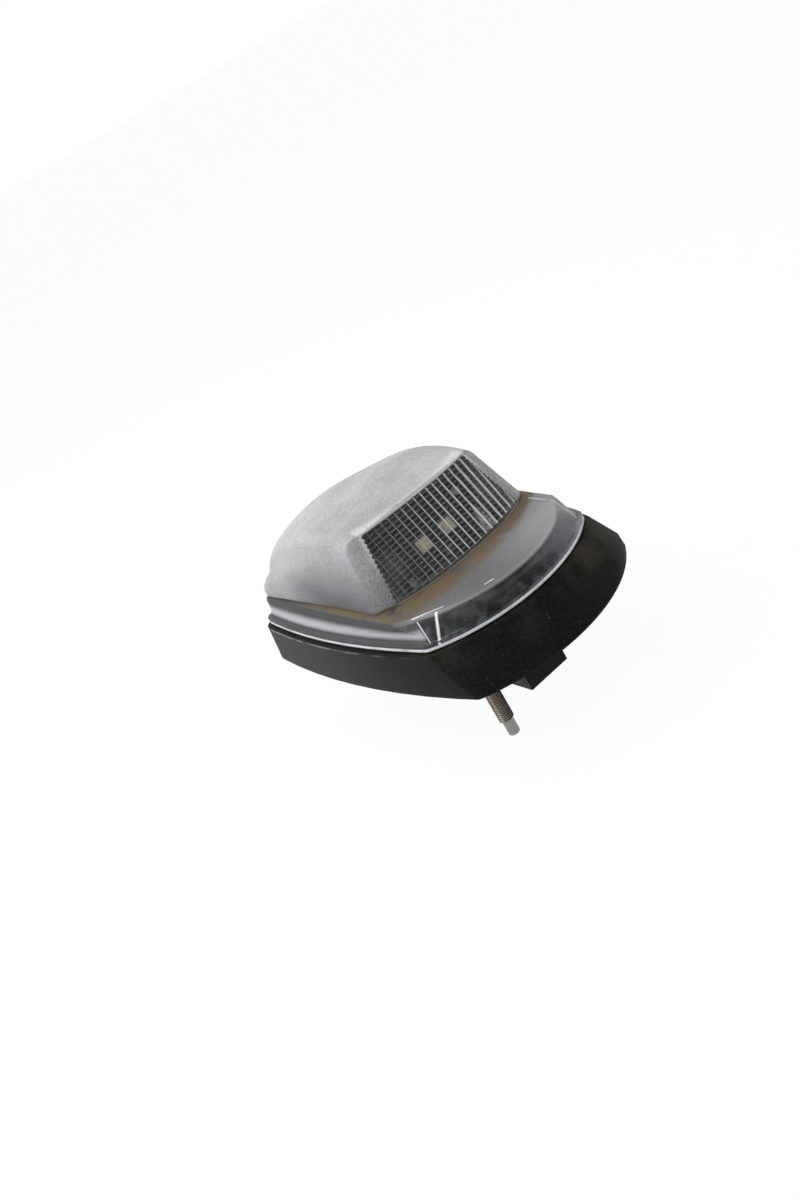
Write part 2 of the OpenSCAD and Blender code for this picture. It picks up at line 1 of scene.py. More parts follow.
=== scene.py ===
# %% [markdown]
# # A roof marker light, dressed and photographed
# The lamp is a clear plastic lens with frosted sides on a black base. Two studs and a plug
# socket hang below it. Its solids come from the CAD model, already in the right place and
# at the right size, so this lesson is about finishes, fine detail, light and camera.

# %% Load the solids
import math

import bpy
from mathutils import Matrix, Vector


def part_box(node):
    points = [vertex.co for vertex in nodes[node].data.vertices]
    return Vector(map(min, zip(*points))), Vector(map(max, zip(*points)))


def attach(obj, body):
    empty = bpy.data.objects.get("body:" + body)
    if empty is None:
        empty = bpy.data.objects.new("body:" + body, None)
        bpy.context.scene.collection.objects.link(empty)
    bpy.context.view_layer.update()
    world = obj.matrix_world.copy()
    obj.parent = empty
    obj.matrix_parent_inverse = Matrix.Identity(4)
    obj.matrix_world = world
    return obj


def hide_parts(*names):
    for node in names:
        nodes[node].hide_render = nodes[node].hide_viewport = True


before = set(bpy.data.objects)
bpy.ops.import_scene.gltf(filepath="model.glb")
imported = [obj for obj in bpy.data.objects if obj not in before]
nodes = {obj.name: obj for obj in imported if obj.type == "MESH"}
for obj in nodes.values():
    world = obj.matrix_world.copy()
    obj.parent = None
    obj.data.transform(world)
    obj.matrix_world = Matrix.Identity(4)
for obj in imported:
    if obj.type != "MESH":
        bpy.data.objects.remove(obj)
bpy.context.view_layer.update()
MM = 0.001
print("pieces in the CAD model:", len(nodes))

# %% [markdown]
# The lens leans a little to the rear, and its front window leans back. Positions on the lens
# are easiest to give on its rim plane, and positions on the window in the window's own
# directions. The measures below are the part's own, and both sets of directions are worked
# out from them once.

# %% Directions of the rim and of the window
RIM_Z = 18.7 * MM
RIM_TILT = math.radians(1.55)
LEDGE_H = 9.8 * MM
WINDOW_RISE = 25.2 * MM
WINDOW_FOOT_Y = -21.8 * MM
WINDOW_TOP_Y = -7.2 * MM
window_lean = math.atan2(WINDOW_TOP_Y - WINDOW_FOOT_Y, WINDOW_RISE)
window_mid = Vector((0, (WINDOW_FOOT_Y + WINDOW_TOP_Y) / 2, LEDGE_H + WINDOW_RISE / 2))
leaning = Matrix.Rotation(math.radians(90) - window_lean, 4, "X")
on_rim = Matrix.Translation((0, 0, RIM_Z)) @ Matrix.Rotation(-RIM_TILT, 4, "X")
on_window = on_rim @ Matrix.Translation(window_mid) @ leaning
print("window leans back", round(math.degrees(window_lean), 1), "degrees")

# %% [markdown]
# The photograph was taken from in front of the lamp, from its left and from above, and the
# lamp is turned in the picture. Three angles say that: two for where the camera stands, and a
# roll about its line of sight. They give the camera's own right and up directions, which are
# easier to check than a rotation about three axes.

# %% Where the camera stands
AZIMUTH = math.radians(25.5)
ELEVATION = math.radians(23.8)
ROLL = math.radians(-29.3)
AIM = Vector((0, -20, 25)) * MM
DISTANCE = 500 * MM

to_camera = Vector(
    (
        -math.sin(AZIMUTH) * math.cos(ELEVATION),
        -math.cos(AZIMUTH) * math.cos(ELEVATION),
        math.sin(ELEVATION),
    )
)
level_right = Vector((math.cos(AZIMUTH), -math.sin(AZIMUTH), 0))
level_up = to_camera.cross(level_right)
right = math.cos(ROLL) * level_right + math.sin(ROLL) * level_up
up = math.cos(ROLL) * level_up - math.sin(ROLL) * level_right
print("direction to the camera:", [round(v, 2) for v in to_camera])

# %% [markdown]
# The camera's rotation is a matrix with those three directions as its columns. The focal
# length sets how large the lamp is in the picture. A small shift of the lens moves the
# picture's centre without turning the camera, so that the perspective stays true.

# %% Camera
LENS_MM = 41.96
AIM_PX = (471.24, 564.85)
IMAGE_PX = (800, 1200)

camera_data = bpy.data.cameras.new("photo_camera")
camera_data.lens = LENS_MM
camera_data.shift_x = (IMAGE_PX[0] / 2 - AIM_PX[0]) / IMAGE_PX[1]
camera_data.shift_y = (AIM_PX[1] - IMAGE_PX[1] / 2) / IMAGE_PX[1]
camera = bpy.data.objects.new("photo_camera", camera_data)
bpy.context.scene.collection.objects.link(camera)
turned = Matrix((right, up, to_camera)).transposed().to_4x4()
camera.matrix_world = Matrix.Translation(AIM + to_camera * DISTANCE) @ turned
bpy.context.scene.camera = camera
print("camera at", [round(v * 1000) for v in camera.location], "mm")

# %% [markdown]
# A finish is a small network of nodes, and so are the light of the world and the smoothing
# of a mesh. They could be drawn by hand in Blender's editor, but as text they are easier to
# read and to repeat. This helper adds a node and sets its sockets. What goes to a socket is
# a number, a colour, or the output of another node, which is then joined to it.

# %% A helper that joins nodes
class Nodes:
    def __init__(self, tree):
        self.tree = tree

    def put(self, node, sockets):
        for key, value in sockets.items():
            name = key if isinstance(key, int) else key.replace("_", " ")
            socket = node.inputs[name]
            if isinstance(value, bpy.types.NodeSocket):
                self.tree.links.new(value, socket)
            else:
                socket.default_value = value

    def add(self, kind, settings=None, **sockets):
        node = self.tree.nodes.new(kind)
        for key, value in (settings or {}).items():
            setattr(node, key, value)
        self.put(node, sockets)
        return node


def methods(helper):
    return [name for name in vars(helper) if not name.startswith("_")]


print("Nodes can", methods(Nodes))

# %% [markdown]
# A mask is a number from 0 to 1 that says how much of a finish is at a point. Masks are made
# from positions with a few sums: a soft step, the product of two masks for where both are,
# the highest of several for where any is, and the distance to lines that repeat.

# %% Sums for masks
class Masks(Nodes):
    def math(self, operation, a, b=0.0, clamp=False):
        node = self.add("ShaderNodeMath", {"operation": operation, "use_clamp": clamp})
        self.put(node, {0: a, 1: b})
        return node.outputs[0]

    def times(self, first, *others):
        for other in others:
            first = self.math("MULTIPLY", first, other)
        return first

    def most(self, first, *others):
        for other in others:
            first = self.math("MAXIMUM", first, other)
        return first

    def rest(self, mask):
        """1 where a mask is 0, and 0 where it is 1."""
        return self.math("SUBTRACT", 1.0, mask)

    def off(self, value, middle):
        """The distance from a middle value, on either side of it."""
        return self.math("ABSOLUTE", self.math("SUBTRACT", value, middle))

    def repeat(self, value, pitch, start):
        """The distance to the nearest of many lines at one pitch, counted from -start."""
        return self.math("PINGPONG", self.math("ADD", value, start), pitch / 2)

    def step(self, value, low, high):
        """Rises smoothly from 0 at low to 1 at high."""
        node = self.add("ShaderNodeMapRange", {"interpolation_type": "SMOOTHSTEP"})
        self.put(node, {"Value": value, "From Min": low, "From Max": high})
        return node.outputs[0]


print("Masks can also", methods(Masks))

# %% [markdown]
# Where a mask is 0 a blend keeps its first value, and where it is 1 it takes the second. There
# is one blend for numbers and one for colours. Directions and positions are vectors, and
# have sums of their own.

# %% Blends and vectors
class Blends(Masks):
    def mix(self, factor, a, b):
        node = self.add("ShaderNodeMix", {"data_type": "FLOAT"}, Factor=factor)
        self.put(node, {2: a, 3: b})
        return node.outputs[0]

    def blend(self, factor, a, b):
        node = self.add("ShaderNodeMix", {"data_type": "RGBA"}, Factor=factor)
        self.put(node, {6: a, 7: b})
        return node.outputs[2]

    def vector(self, operation, a, b):
        node = self.add("ShaderNodeVectorMath", {"operation": operation})
        self.put(node, {0: a, 1: b})
        in_numbers = operation in ("DOT_PRODUCT", "DISTANCE")
        return node.outputs["Value" if in_numbers else "Vector"]

    def scaled(self, vector, by):
        node = self.add("ShaderNodeVectorMath", {"operation": "SCALE"}, Scale=by)
        self.put(node, {0: vector})
        return node.outputs["Vector"]

    def xyz(self, vector):
        return self.add("ShaderNodeSeparateXYZ", Vector=vector).outputs


print("Blends can also", methods(Blends))

# %% [markdown]
# A finish starts from Blender's own all-round shader. Positions are read from the object
# itself, in metres, so that dirt and frosting stay where they are on the lamp from every
# side. Noise gives grain, cloud and specks, and bump turns a grain into small relief.

# %% A helper for finishes
class Finish(Blends):
    def __init__(self, name, **sockets):
        self.material = bpy.data.materials.new(name)
        self.material.use_nodes = True
        super().__init__(self.material.node_tree)
        self.surface = self.tree.nodes["Principled BSDF"]
        self.put(self.surface, sockets)
        self.place = self.add("ShaderNodeTexCoord").outputs["Object"]

    def axis(self, matrix, index):
        """Position along one axis of a frame, 0 at that frame's origin."""
        inverse = matrix.inverted()
        along = self.vector("DOT_PRODUCT", self.place, Vector(inverse[index][:3]))
        return self.math("ADD", along, inverse[index][3])

    def facing(self):
        """The direction that the surface faces, as X, Y and Z."""
        return self.xyz(self.add("ShaderNodeNewGeometry").outputs["Normal"])

    def noise(self, per_mm, detail=3.0, roughness=0.5, place=None):
        settings = {"Scale": per_mm / MM, "Detail": detail, "Roughness": roughness}
        node = self.add("ShaderNodeTexNoise", Vector=place or self.place, **settings)
        return node.outputs["Fac"]

    def bump(self, height, depth_mm, strength, normal=None):
        node = self.add("ShaderNodeBump", Height=height)
        self.put(node, {"Strength": strength, "Distance": depth_mm * MM})
        if normal is not None:
            self.put(node, {"Normal": normal})
        return node.outputs["Normal"]

    def rounded(self, radius_mm):
        """Normals that round each crisp edge a little, as a mould's worn edges do."""
        node = self.add("ShaderNodeBevel", {"samples": 4}, Radius=radius_mm * MM)
        return node.outputs["Normal"]

    def finish(self, **sockets):
        self.put(self.surface, sockets)
        return self.material


print("Finish can also", methods(Finish))

# %% [markdown]
# Two more short helpers: one for greys, because most of this lamp is grey or black, and one
# that puts a finish on a CAD piece and takes off what was there.

# %% Greys, and putting on a finish
def grey(value):
    return (value, value, value, 1.0)


def wear(node_name, material):
    mesh = nodes[node_name].data
    mesh.materials.clear()
    mesh.materials.append(material)


print("a mid grey is", grey(0.18))

# %% [markdown]
# The CAD mesh is made of flat faces. A moulded part has soft faces that run into each other
# and crisp edges only where two faces meet at an angle. A few geometry nodes weld the mesh,
# drop the flat normals that came with it, and shade it smooth up to a chosen angle. The
# vertices stay where they are, so the size doesn't change.

# %% Smooth shading for the curved solids
CRISP_DEGREES = 30
WELD = 0.002 * MM


def smooth_group(name, angle_degrees):
    group = bpy.data.node_groups.new(name, "GeometryNodeTree")
    for way in ("INPUT", "OUTPUT"):
        group.interface.new_socket("Geometry", in_out=way, socket_type="NodeSocketGeometry")
    n = Nodes(group)
    mesh = n.add("NodeGroupInput").outputs[0]
    mesh = n.add(
        "GeometryNodeRemoveAttribute", Geometry=mesh, Name="custom_normal"
    ).outputs[0]
    mesh = n.add("GeometryNodeMergeByDistance", Geometry=mesh, Distance=WELD).outputs[0]
    mesh = n.add("GeometryNodeSetShadeSmooth", Geometry=mesh).outputs[0]
    bend = n.add("GeometryNodeInputMeshEdgeAngle").outputs["Unsigned Angle"]
    sharp = n.add("FunctionNodeCompare", {"operation": "GREATER_THAN"}, A=bend)
    n.put(sharp, {"B": math.radians(angle_degrees)})
    edges = n.add("GeometryNodeSetShadeSmooth", {"domain": "EDGE"}, Geometry=mesh)
    n.put(edges, {"Selection": sharp.outputs["Result"], "Shade Smooth": False})
    n.put(n.add("NodeGroupOutput"), {0: edges.outputs[0]})
    return group


smooth_to_30 = smooth_group("smooth_to_30", CRISP_DEGREES)
for node in nodes.values():
    soft = node.modifiers.new("soft_faces", "NODES")
    soft.node_group = smooth_to_30
print("smoothed", len(nodes), "solids")

# %% [markdown]
# The lens is one clear moulding. The mould is etched where the dome and the side wall are, so
# that the plastic scatters light there and looks grey and milky. The window is polished and
# stays clear. One finish does all of it, with masks in the lens's own position, so that the
# zones meet along the lines where the real mould changes. The window curves back at its
# sides, so its depth is measured from a curved surface.

# %% Place on the window
WINDOW_FOOT_W = 62 * MM
WINDOW_TOP_W = 50 * MM
WINDOW_FOOT_BOW = 7 * MM
WINDOW_TOP_BOW = 2.6 * MM


def window_place(f):
    """Half the window's width at a point's height, and the point's depth on the window."""
    rim_x, rim_z = f.axis(on_rim, 0), f.axis(on_rim, 2)
    rise = f.math("DIVIDE", f.math("SUBTRACT", rim_z, LEDGE_H), WINDOW_RISE)
    half = f.mix(rise, WINDOW_FOOT_W / 2, WINDOW_TOP_W / 2)
    bow = f.mix(rise, WINDOW_FOOT_BOW, WINDOW_TOP_BOW)
    share = f.math("POWER", f.math("DIVIDE", rim_x, half), 2.0)
    back = f.times(bow, share, math.cos(window_lean))
    return half, f.math("ADD", f.axis(on_window, 2), back)


print("window is", round(WINDOW_RISE / math.cos(window_lean) * 1000, 1), "mm along its slant")

# %% [markdown]
# The window's mask ends in small teeth at both sides, one to each of the fine ribs that run
# across the flutes. A smooth band frames it at the sides and the top. The inner skin of the
# lens has a mask too, because the milky lines are on that skin alone: on both, each line
# would be seen twice.

# %% Window, frame and inner skin
WINDOW_OFF = 1.0 * MM
FRAME_W = 1.2 * MM
PILLOW_PITCH = 1.9 * MM
PILLOW_START = 30 * MM
TOOTH = 0.7


def window_zones(f):
    """Masks for the window, its frame and the lens's inner skin."""
    rim_x, rim_z = f.axis(on_rim, 0), f.axis(on_rim, 2)
    half, depth = window_place(f)
    side = f.math("SUBTRACT", half, f.off(rim_x, WINDOW_OFF))
    teeth = f.repeat(f.axis(on_window, 1), PILLOW_PITCH, PILLOW_START)
    side = f.math("ADD", side, f.times(teeth, TOOTH))
    near = f.times(f.step(depth, -5.2 * MM, -4.8 * MM), f.step(depth, 1.2 * MM, 0.6 * MM))
    above = f.step(rim_z, LEDGE_H + 0.2 * MM, LEDGE_H + 0.6 * MM)
    top = LEDGE_H + WINDOW_RISE

    def panel(grow):
        within = f.step(side, -grow - 0.2 * MM, -grow + 0.2 * MM)
        below = f.step(rim_z, top + grow + 0.2 * MM, top + grow - 0.3 * MM)
        return f.times(within, below, above, near)

    window = panel(0.0)
    frame_band = f.math("SUBTRACT", panel(FRAME_W), window, True)
    return window, frame_band, f.step(depth, -1.0 * MM, -1.3 * MM)


print("frame round the window:", round(FRAME_W * 1000, 1), "mm")

# %% [markdown]
# The front wall below the ledge is polished too, and so are the two chamfers beside it. They
# lie ahead of a slanted plane through the chamfers' rear corners, which is all that their
# mask needs.

# %% Clear front
CLEAR_SLOPE = 0.948
CLEAR_FROM = -41.4 * MM
CLEAR_FULLY = -42.6 * MM


def clear_front(f):
    """A mask for the polished front wall and its chamfers."""
    rim_y, rim_z = f.axis(on_rim, 1), f.axis(on_rim, 2)
    ahead = f.math("SUBTRACT", rim_y, f.times(rim_z, CLEAR_SLOPE))
    low = f.step(rim_z, LEDGE_H - 0.5 * MM, LEDGE_H - 1.6 * MM)
    return f.times(f.step(ahead, CLEAR_FROM, CLEAR_FULLY), low)


print("plane of the clear front leans", round(math.degrees(math.atan(CLEAR_SLOPE))), "degrees")

# %% [markdown]
# Crisp corners of clear plastic lead light along themselves and look pale, and they catch
# highlights. Real ones would need very fine geometry and many rays, so here each is a thin
# pale line painted in the finish, partly light led along the corner and partly a painted
# highlight. It is given by points that it runs through, in millimetres on the rim plane, and
# drawn by the distance to the straight piece between two of them. A short pale dash on the
# ledge is drawn in the same way.

# %% Painted highlights on the corners of the lens
FRONT_POST = ((-29.4, -39.4, 9.3), (-32.7, -41.6, 5.3), (-34.0, -41.9, 3.0), (-35.5, -43.0, 1.4))
REAR_POST = ((-34.7, -33.9, 8.5), (-36.2, -37.9, 4.8), (-36.8, -39.5, 2.6), (-37.4, -41.2, 0.8))
LEDGE_CORNER = ((-34.8, -31.4, 9.5), (-26.3, -40.1, 9.8))
LEDGE_DASH = ((-12.3, -48.1, 9.8), (-9.3, -49.2, 9.8))
RIGHT_LEDGE = ((35.7, -16.4, 9.8), (35.4, -24.6, 9.8), (35.9, -31.2, 9.2))
RIGHT_WALL = ((35.9, -31.2, 9.2), (35.4, -34.5, 7.6), (35.1, -37.9, 5.9), (35.3, -40.7, 3.1))


def near_path(f, path, radius_mm):
    """1 close to a path of straight pieces, fading out within the same distance again."""
    pieces = []
    for a, b in zip(path, path[1:]):
        start = on_rim @ (Vector(a) * MM)
        along = on_rim @ (Vector(b) * MM) - start
        arm = f.vector("SUBTRACT", f.place, start)
        share = f.vector("DOT_PRODUCT", arm, along / along.length_squared)
        foot = f.scaled(along, f.math("MULTIPLY", share, 1.0, True))
        away = f.vector("DISTANCE", arm, foot)
        pieces.append(f.step(away, 2 * radius_mm * MM, 0.5 * radius_mm * MM))
    return f.most(*pieces)


post_mm = (Vector(FRONT_POST[0]) - Vector(FRONT_POST[-1])).length
print("front post of the lens:", round(post_mm, 1), "mm")

# %% [markdown]
# Each corner has its own half width in millimetres and its own brightness. The edge of the
# lens's flange has a painted highlight all round, uneven, so a slow noise varies it.

# %% All painted highlight lines
FLANGE_EDGE = 0.55 * MM
HIGHLIGHT_LINES = (
    (FRONT_POST, 0.42, 1.0),
    (REAR_POST, 0.17, 0.9),
    (LEDGE_CORNER, 0.20, 1.0),
    (LEDGE_DASH, 0.26, 1.0),
    (RIGHT_LEDGE, 0.22, 0.6),
    (RIGHT_WALL, 0.30, 0.6),
)


def corner_highlights(f):
    """A mask that is 1 along the painted highlights on the lens's crisp corners and flange."""
    lines = [f.times(near_path(f, path, radius), weight) for path, radius, weight in HIGHLIGHT_LINES]
    # Painted highlight on the flange's edge, all round.
    flange = f.step(f.off(f.axis(on_rim, 2), FLANGE_EDGE), 0.80 * MM, 0.42 * MM)
    uneven = f.math("ADD", 0.5, f.noise(0.12, 2.0))
    return f.most(f.math("MULTIPLY", flange, uneven, True), *lines)


print("bright corners:", len(HIGHLIGHT_LINES))

# %% [markdown]
# Dirt has gathered where water stands: on the ledge at the window's foot and along the step
# line. It is a rust-brown film with darker specks in it, made from two noises: a slow one for
# patches and a fine one for specks.

# %% Rust-brown dirt
FOOT_CURVE = WINDOW_FOOT_BOW / (WINDOW_FOOT_W / 2) ** 2
FILM_REACH = 17 * MM


def rust_dust(f, clear):
    """Rust-brown dust on the ledge at the window's foot, thinner along the step line."""
    rim_x, rim_y, rim_z = (f.axis(on_rim, i) for i in range(3))
    patch = f.noise(0.10, 4.0, 0.65)
    speck = f.noise(1.3, 2.0, 0.7)
    foot_y = f.math("ADD", f.times(rim_x, rim_x, FOOT_CURVE), WINDOW_FOOT_Y)
    ahead = f.math("SUBTRACT", rim_y, foot_y)
    reach = f.math("SUBTRACT", f.times(rim_x, 0.25), FILM_REACH)
    at_foot = f.step(ahead, reach, -2 * MM)
    floor = f.step(rim_z, LEDGE_H - 0.8 * MM, LEDGE_H - 0.1 * MM)
    roof = f.step(rim_z, LEDGE_H + 1.6 * MM, LEDGE_H + 0.2 * MM)
    fading = f.step(rim_y, 52 * MM, 18 * MM)
    film = f.times(at_foot, floor, roof, f.step(patch, 0.30, 0.54), fading)
    specks = f.math("ADD", f.step(speck, 0.25, 0.60), 0.75)
    return f.times(f.math("MULTIPLY", film, specks, True), f.rest(clear))


print("dirt reaches", round(FILM_REACH * 1000), "mm ahead of the window at its middle")

# %% [markdown]
# The window has twenty upright flutes on its inside, and fine ribs run across them. Where two
# flutes meet, the plastic scatters light and shows a thin milky line, and the flutes bend and
# mirror light there too. Here each line is painted: partly milky plastic, partly a painted
# highlight. Seen from the front left, the lines on the far side of the window look wider and
# whiter, because the camera sees more of each flute's flank there. The lines are painted so,
# from left to right.

# %% Flute lines, partly painted highlights
FLUTE_PITCH = 3.1 * MM
FLUTE_START = 31 * MM
THIN_LINE = 0.17 * MM
WIDE_LINE = 0.62 * MM


def flute_line_highlights(f):
    """Thin milky lines, partly painted highlights, where two flutes meet, and finer ones across
    them.
    """
    win_x, win_y = f.axis(on_window, 0), f.axis(on_window, 1)
    across = f.repeat(win_x, FLUTE_PITCH, FLUTE_START)
    # Painted by view: lines wider and whiter towards the right.
    width = f.mix(f.step(win_x, -20 * MM, 26 * MM), THIN_LINE, WIDE_LINE)
    upright = f.step(across, width, f.times(width, 0.45))
    upright = f.times(upright, f.mix(f.step(win_x, -27 * MM, 2 * MM), 0.4, 1.0))
    along = f.repeat(win_y, PILLOW_PITCH, PILLOW_START)
    return upright, f.step(along, 0.45 * MM, 0.15 * MM)


print("flutes on the window:", round(WINDOW_FOOT_W / FLUTE_PITCH))

# %% [markdown]
# The etched dome is milky. Its light and shade are painted into its colour: pale where it
# faces up and catches the light, grey and slightly purple on its side, where less light comes
# back out, darker low down and at the front, paler high up and towards the rear, and paler
# where it faces right. A real milky plastic would get this from scattering inside the wall.
# A painted colour that follows the direction and the height of the wall is faster and nearly
# as good on so thin a shell.

# %% Colour of the milky dome, with painted light and shade
SHADED_FLANK_LOW = (0.095, 0.092, 0.106, 1)
LIT_FLANK_HIGH = (0.60, 0.59, 0.62, 1)
LIT_FLANK_RIGHT = (0.50, 0.49, 0.53, 1)
LIT_MILK_TOP = (0.56, 0.555, 0.57, 1)
MILK_STAIN = (0.30, 0.24, 0.16, 1)


def milk_with_painted_shade(f, grain, cloud):
    rim_y, rim_z = f.axis(on_rim, 1), f.axis(on_rim, 2)
    facing = f.facing()
    # Painted shade and light: darker low down and at the front, paler high up and to the rear.
    rear = f.step(rim_y, 15 * MM, 80 * MM)
    high = f.step(rim_z, LEDGE_H, LEDGE_H + 24 * MM)
    flank = f.blend(f.most(rear, f.times(high, 0.75)), SHADED_FLANK_LOW, LIT_FLANK_HIGH)
    # Painted light: paler where the dome faces right.
    flank = f.blend(f.step(facing["X"], 0.2, 0.7), flank, LIT_FLANK_RIGHT)
    # Painted light: pale where the dome faces up.
    milk = f.blend(f.step(facing["Z"], 0.15, 0.85), flank, LIT_MILK_TOP)
    stain = f.times(f.step(f.noise(0.035, 3.0, 0.6), 0.60, 0.70), 0.3)
    milk = f.blend(stain, milk, MILK_STAIN)
    shade = f.math("ADD", f.times(grain, 0.55), f.times(cloud, 0.35))
    return f.blend(f.step(shade, 0.34, 0.56), f.blend(0.46, milk, grey(0.10)), milk)


print("milky top is", round(LIT_MILK_TOP[1] / SHADED_FLANK_LOW[1]), "times as bright as the low flank")

# %% [markdown]
# The ledge and the wall below it are frosted too, but thin, so that the dark inside shows
# through them. Painted shade and light lie on them: darker on the left, where the camera looks
# through both to the black base, and paler to the right. The rounded shoulder between them
# carries a painted highlight, and a band half way down the wall carries painted light. The
# foot of the wall is darker.

# %% Colour of the thin ledge and wall, with painted light and shade
LEDGE_LEFT_SHADED = (0.020, 0.019, 0.023, 1)
LEDGE_RIGHT_LIT = (0.18, 0.177, 0.19, 1)
SHOULDER_HIGHLIGHT = (0.42, 0.415, 0.43, 1)
WALL_BAND_LIT = (0.45, 0.445, 0.47, 1)
WALL_FOOT = (0.05, 0.05, 0.055, 1)
BAND_LOW = (3.0 * MM, 4.6 * MM)
BAND_HIGH = (7.4 * MM, 5.2 * MM)


def thin_wall_painted_shade(f):
    rim_x, rim_y, rim_z = (f.axis(on_rim, i) for i in range(3))
    # Painted shade and light: darker on the left, paler to the right.
    right = f.step(rim_x, -15 * MM, 38 * MM)
    thin = f.blend(right, LEDGE_LEFT_SHADED, LEDGE_RIGHT_LIT)
    # Painted highlight on the rounded shoulder.
    shoulder = f.step(f.off(rim_z, LEDGE_H - 0.5 * MM), 0.9 * MM, 0.2 * MM)
    shoulder = f.times(shoulder, f.step(rim_y, -20 * MM, -36 * MM), f.mix(right, 0.35, 0.7))
    thin = f.blend(shoulder, thin, SHOULDER_HIGHLIGHT)
    # Painted light on a band half way down the wall.
    band = f.times(f.step(rim_z, *BAND_LOW), f.step(rim_z, *BAND_HIGH))
    thin = f.blend(f.times(band, 0.85), thin, WALL_BAND_LIT)
    foot = f.times(f.step(rim_z, 3.2 * MM, 2.4 * MM), 0.85)
    return f.blend(foot, thin, WALL_FOOT)


band_mm = [round(z * 1000, 1) for z in (BAND_LOW[0], BAND_HIGH[0])]
print("pale band on the wall:", band_mm, "mm above the rim")

# %% [markdown]
# The clear front is almost colourless. What shows there is a cloudy haze in the old plastic,
# bluish green and dark. Towards the right it is painted paler, as painted light.

# %% Colour of the clear front
HAZE_DARK = (0.006, 0.007, 0.008, 1)
HAZE_LIGHT = (0.075, 0.088, 0.092, 1)
PAINTED_LIGHT_RIGHT = (0.20, 0.205, 0.225, 1)


def clear_colour(f):
    haze = f.step(f.noise(0.22, 3.0, 0.6), 0.40, 0.68)
    # Painted light: paler towards the right.
    pale = f.times(f.step(f.axis(on_rim, 0), -4 * MM, 26 * MM), 0.7)
    return f.blend(pale, f.blend(haze, HAZE_DARK, HAZE_LIGHT), PAINTED_LIGHT_RIGHT)


print("haze goes from", HAZE_DARK[1], "to", HAZE_LIGHT[1])

# %% [markdown]
# The frosted zones have a fine etched grain, as bump, and it is gentler on the ledge than on
# the dome. The inner skin behind the window is treated as flat there. Its real flutes are in
# the solid, but their mirrored images would cover the inside with noise. A skin that is seen
# from its back needs that flat direction turned round.

# %% Relief of the lens
DOME_GRAIN = 1.0
LEDGE_GRAIN = 0.3
INTO_LAMP = on_window.to_3x3() @ Vector((0, 0, -1))


def lens_relief(f, frosted, low, grain, flat):
    etched = f.times(frosted, f.mix(low, DOME_GRAIN, LEDGE_GRAIN))
    relief = f.bump(f.times(grain, etched), 0.70, 1.0, f.rounded(0.5))
    behind = f.add("ShaderNodeNewGeometry").outputs["Backfacing"]
    inward = f.scaled(INTO_LAMP, f.rest(f.times(behind, 2.0)))
    both = f.add("ShaderNodeMix", {"data_type": "VECTOR"}, Factor=flat)
    f.put(both, {4: relief, 5: inward})
    return both.outputs[1]


print("direction into the lamp:", [round(v, 2) for v in INTO_LAMP])

# %% [markdown]
# Now the colours are laid over each other: dome and thin wall with their painted light and
# shade, rust, clear front, window, milky lines with painted highlights, and the painted
# highlights of the frame and corners on top.

# %% Colour of the whole lens
RUST = (0.110, 0.080, 0.042, 1)
CLEAR_TINT = grey(0.55)
MILKY_LINE_HIGHLIGHT = (0.88, 0.90, 0.93, 1)
FRAME_HIGHLIGHT = (0.75, 0.75, 0.77, 1)
CORNER_HIGHLIGHT = (0.80, 0.83, 0.86, 1)


def lens_colour(f, masks, grain, low):
    cloud = f.noise(0.05, 3.0, 0.6)
    body = f.blend(low, milk_with_painted_shade(f, grain, cloud), thin_wall_painted_shade(f))
    # Painted light: the frame's highlight grows towards the window's top.
    bright = f.step(f.axis(on_rim, 2), LEDGE_H + 8 * MM, LEDGE_H + WINDOW_RISE)
    for mask, colour in (
        (f.times(masks["rust"], 0.92), RUST),
        (masks["front"], clear_colour(f)),
        (masks["window"], CLEAR_TINT),
        # Milky flute lines, partly painted highlights.
        (masks["line"], MILKY_LINE_HIGHLIGHT),
        # Painted highlight on the window's frame.
        (f.times(masks["frame"], bright, 0.7), FRAME_HIGHLIGHT),
        # Painted highlights on the corners and the flange.
        (f.times(masks["shine"], 0.9), CORNER_HIGHLIGHT),
    ):
        body = f.blend(mask, body, colour)
    return body


print("rust is", round(100 * RUST[1] / MILKY_LINE_HIGHLIGHT[1]), "% as bright as a milky line")

# %% [markdown]
# How much light goes straight through is the heart of this lens: nearly all of it in the
# window, less than half in the front wall and little in the frosted zones. The window is
# also the smoothest. Dirt, the milky lines and the painted corner highlights let nothing
# through, and dirt is duller.

# %% How clear and how smooth
CLEAR_WINDOW, CLEAR_WALL, CLEAR_FROST = 0.99, 0.45, 0.14
ROUGH_WINDOW, ROUGH_WALL, ROUGH_FROST = 0.03, 0.16, 0.40
ROUGH_FRAME = 0.14


def lens_clearness(f, masks):
    see = f.mix(masks["window"], CLEAR_FROST, CLEAR_WINDOW)
    see = f.mix(masks["front"], see, CLEAR_WALL)
    open_share = f.rest(f.most(masks["rust"], masks["line"], masks["shine"]))
    rough = f.mix(masks["front"], ROUGH_FROST, ROUGH_WALL)
    rough = f.mix(masks["window"], rough, ROUGH_WINDOW)
    rough = f.mix(masks["frame"], rough, ROUGH_FRAME)
    rough = f.math("ADD", rough, f.times(masks["rust"], 0.3), True)
    return f.math("MULTIPLY", see, open_share, True), rough


print("light straight through the window:", CLEAR_WINDOW)

# %% [markdown]
# Blender's rays of light from a lamp stop at clear plastic unless it bends them through,
# which takes very many samples. Instead, the lens is partly absent for those rays, more in
# its clear zones than in its frosted ones. So the inside is lit through the lens, and the
# lens still throws a soft shadow.

# %% The lens, all together
LIT_THROUGH_FROST = 0.25
LIT_THROUGH_CLEAR = 0.85


